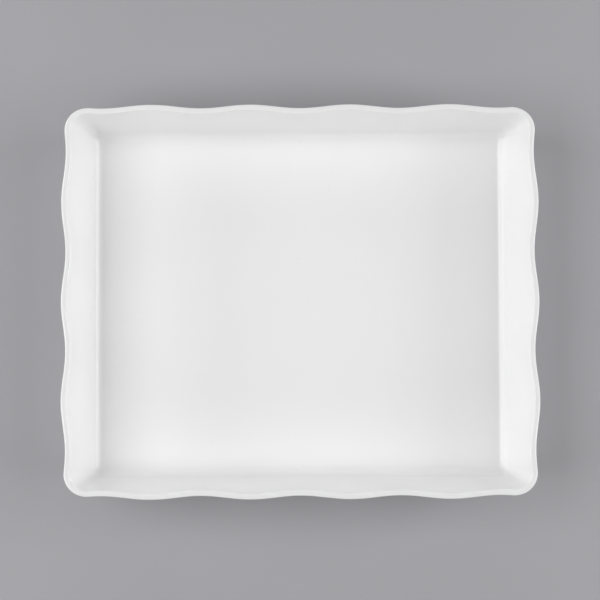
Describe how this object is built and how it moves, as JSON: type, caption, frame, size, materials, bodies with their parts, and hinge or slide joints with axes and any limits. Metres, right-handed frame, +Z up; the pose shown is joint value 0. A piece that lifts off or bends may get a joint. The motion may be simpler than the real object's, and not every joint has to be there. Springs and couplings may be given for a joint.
{
  "type": "serving platter",
  "caption": "Deep rectangular serving platter in white glazed china, with leaning walls, a scalloped rim, coved corners to a flat well and an unglazed foot ring.",
  "frame": {"origin": "centre of the base, on the plane that the dish stands on", "axes": "+X along the length, +Y across the width toward the back wall, +Z up out of the well"},
  "size_m": [0.324, 0.2676, 0.055],
  "materials": {
    "glaze": "clear high-gloss glaze over white vitrified china",
    "bisque": "bare fired body, ground smooth on the faces that stand"
  },
  "bodies": {
    "root": {"well_floor": "glaze", "front_wall": "glaze", "back_wall": "glaze", "left_wall": "glaze", "right_wall": "glaze", "lip": "glaze", "foot_ring": "bisque", "middle_ring": "bisque"}
  },
  "joints": []
}
